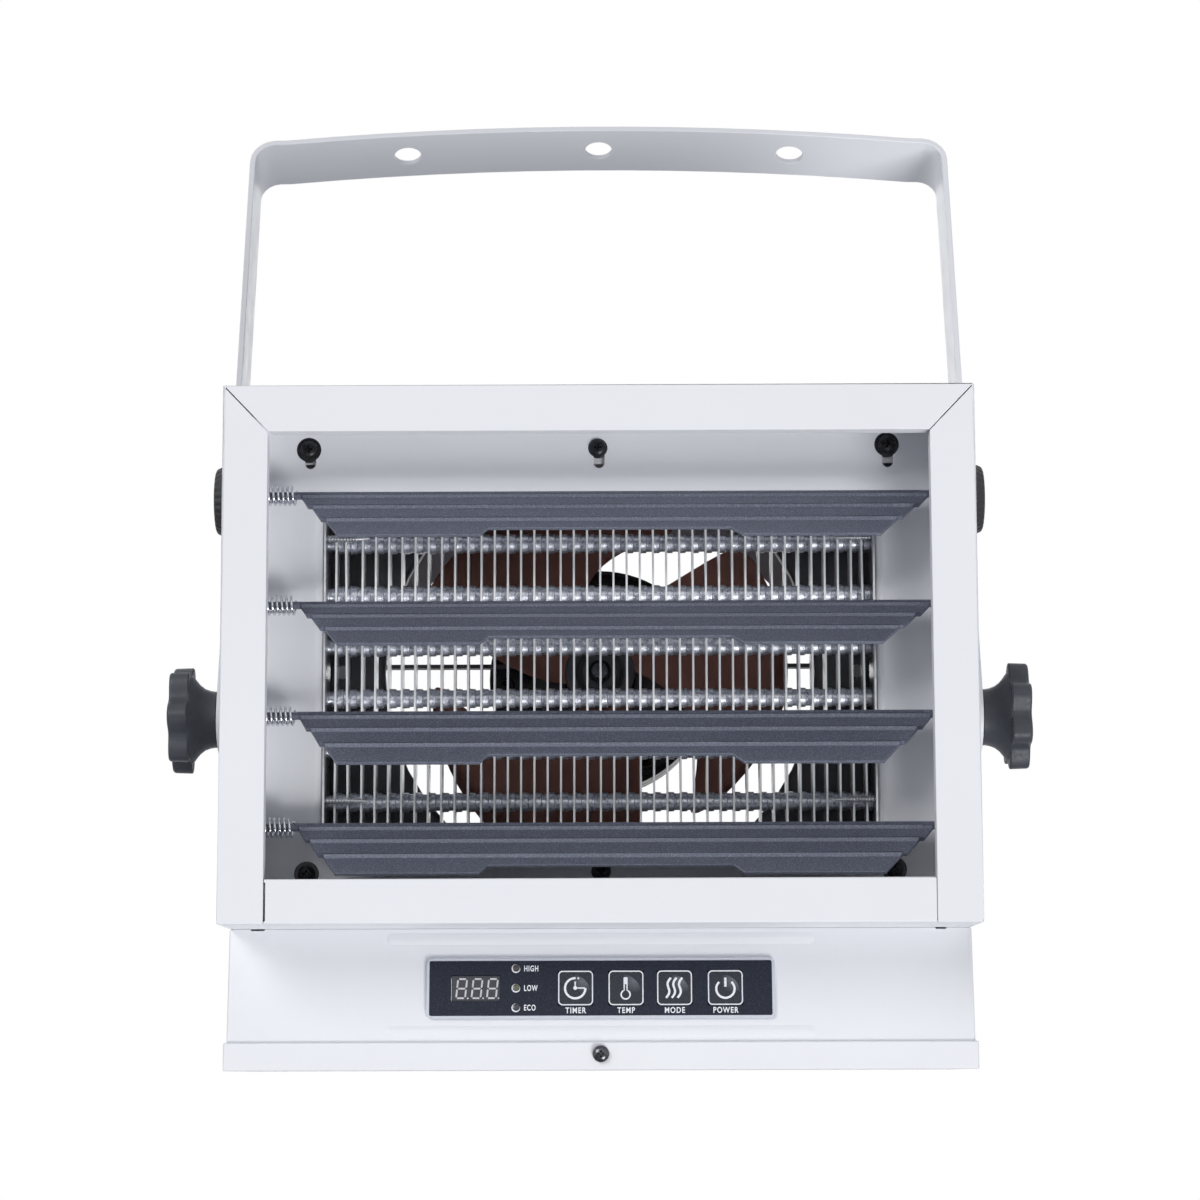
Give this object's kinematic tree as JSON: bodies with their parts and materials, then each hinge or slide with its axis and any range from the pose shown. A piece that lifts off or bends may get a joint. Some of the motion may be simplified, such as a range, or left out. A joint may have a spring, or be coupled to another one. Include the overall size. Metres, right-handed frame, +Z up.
{
  "type": "ceiling mounted fan heater",
  "caption": "Box-shaped electric fan heater hung in a tilting strap bracket, with a finned element behind swinging louvers and a control box below.",
  "frame": {"origin": "middle of the bracket bar's top face, over the centre hanging hole, where it meets the ceiling", "axes": "+Z up, square to the ceiling; +X to the right seen from the front; the heater blows towards -Y and down"},
  "size_m": [0.4252, 0.3064, 0.5209],
  "materials": {
    "white_paint": "cool white powder coat, satin, very fine texture",
    "louver_paint": "dark blue-grey hammered powder coat",
    "black_steel": "blackened steel, semi-gloss",
    "charcoal_steel": "charcoal coated sheet, satin",
    "copper_paint": "copper-brown coated fan blades, satin",
    "galvanised_steel": "bright zinc plated steel",
    "spring_wire": "bright nickel plated spring wire",
    "black_plastic": "dark grey moulded nylon, fine grain",
    "gloss_black": "smoked black overlay film, glossy",
    "display_window": "unlit numeric display behind a grey filter",
    "indicator_lens": "unlit indicator lamp lens",
    "circuit_board": "green laminate",
    "beige_plastic": "moulded thermoset",
    "lead_rubber": "heat resistant cable sheath"
  },
  "bodies": {
    "bracket": {"mounting_bracket": "white_paint", "lock_nut_left": "galvanised_steel", "lock_nut_right": "galvanised_steel"},
    "lock_knob_left": {"lock_knob_left": "black_plastic"},
    "lock_knob_right": {"lock_knob_right": "black_plastic"},
    "housing": {"housing_wrap": "white_paint", "bottom_pan": "white_paint", "back_panel": "white_paint", "reflector_panel": "white_paint", "control_box": "white_paint", "bottom_cover": "white_paint", "pivot_bush_left": "galvanised_steel", "pivot_bush_right": "galvanised_steel", "heating_element": "galvanised_steel", "element_plate_left": "galvanised_steel", "element_plate_right": "galvanised_steel", "venturi_plate": "charcoal_steel", "fan_motor": "black_steel", "motor_strap": "charcoal_steel", "cover_screw": "black_steel", "control_overlay": "gloss_black", "display": "display_window", "control_board": "circuit_board", "power_board": "circuit_board", "terminal_block": "beige_plastic", "thermal_cutout": "black_plastic", "cable_gland": "black_plastic", "motor_lead": "lead_rubber", "element_lead": "lead_rubber", "panel_screw_1": "black_steel", "panel_screw_2": "black_steel", "panel_screw_3": "black_steel", "panel_screw_4": "black_steel", "panel_screw_5": "black_steel", "panel_screw_6": "black_steel", "element_screw_1": "galvanised_steel", "element_screw_2": "galvanised_steel", "element_screw_3": "galvanised_steel", "element_screw_4": "galvanised_steel", "indicator_top": "indicator_lens", "indicator_middle": "indicator_lens", "indicator_bottom": "indicator_lens"},
    "pivot_knob_left": {"pivot_knob_left": "black_plastic"},
    "pivot_knob_right": {"pivot_knob_right": "black_plastic"},
    "fan": {"fan_rotor": "copper_paint", "fan_collar": "black_steel", "motor_shaft": "galvanised_steel"},
    "louver_1": {"louver_1": "louver_paint", "louver_spring_1": "spring_wire"},
    "louver_2": {"louver_2": "louver_paint", "louver_spring_2": "spring_wire"},
    "louver_3": {"louver_3": "louver_paint", "louver_spring_3": "spring_wire"},
    "louver_4": {"louver_4": "louver_paint", "louver_spring_4": "spring_wire"},
    "key_timer": {"key_timer": "gloss_black"},
    "key_temperature": {"key_temperature": "gloss_black"},
    "key_mode": {"key_mode": "gloss_black"},
    "key_power": {"key_power": "gloss_black"}
  },
  "joints": [
    {"name": "tilt", "type": "hinge", "parent": "bracket", "child": "housing", "pos_m": [0, 0, -0.357], "axis": [1, 0, 0], "range_deg": [-22.3, 37.7]},
    {"name": "lock_knob_left_turn", "type": "hinge", "parent": "bracket", "child": "lock_knob_left", "pos_m": [-0.193, 0, -0.2294], "axis": [-1, 0, 0], "continuous": true},
    {"name": "lock_knob_right_turn", "type": "hinge", "parent": "bracket", "child": "lock_knob_right", "pos_m": [0.193, 0, -0.2294], "axis": [1, 0, 0], "continuous": true},
    {"name": "pivot_knob_left_turn", "type": "hinge", "parent": "housing", "child": "pivot_knob_left", "pos_m": [-0.207, 0, -0.357], "axis": [-1, 0, 0], "continuous": true},
    {"name": "pivot_knob_right_turn", "type": "hinge", "parent": "housing", "child": "pivot_knob_right", "pos_m": [0.207, 0, -0.357], "axis": [1, 0, 0], "continuous": true},
    {"name": "fan_spin", "type": "hinge", "parent": "housing", "child": "fan", "pos_m": [0, 0.03379, -0.31288], "axis": [0, -0.9252, -0.3795], "continuous": true},
    {"name": "louver_1_swing", "type": "hinge", "parent": "housing", "child": "louver_1", "pos_m": [0, -0.06341, -0.26563], "axis": [1, 0, 0], "range_deg": [-39.6, 45.4]},
    {"name": "louver_2_swing", "type": "hinge", "parent": "housing", "child": "louver_2", "pos_m": [0, -0.04266, -0.31624], "axis": [1, 0, 0], "range_deg": [-36.6, 48.4]},
    {"name": "louver_3_swing", "type": "hinge", "parent": "housing", "child": "louver_3", "pos_m": [0, -0.0219, -0.36685], "axis": [1, 0, 0], "range_deg": [-42.6, 42.4]},
    {"name": "louver_4_swing", "type": "hinge", "parent": "housing", "child": "louver_4", "pos_m": [0, -0.00115, -0.41746], "axis": [1, 0, 0], "range_deg": [-39.6, 45.4]},
    {"name": "key_timer_press", "type": "slide", "parent": "housing", "child": "key_timer", "axis": [0, 0.9744, 0.2248], "range_m": [0, 0.0004], "stiffness_N_per_m": 800, "springref_m": -0.0004},
    {"name": "key_temperature_press", "type": "slide", "parent": "housing", "child": "key_temperature", "axis": [0, 0.9744, 0.2248], "range_m": [0, 0.0004], "stiffness_N_per_m": 800, "springref_m": -0.0004},
    {"name": "key_mode_press", "type": "slide", "parent": "housing", "child": "key_mode", "axis": [0, 0.9744, 0.2248], "range_m": [0, 0.0004], "stiffness_N_per_m": 800, "springref_m": -0.0004},
    {"name": "key_power_press", "type": "slide", "parent": "housing", "child": "key_power", "axis": [0, 0.9744, 0.2248], "range_m": [0, 0.0004], "stiffness_N_per_m": 800, "springref_m": -0.0004}
  ]
}
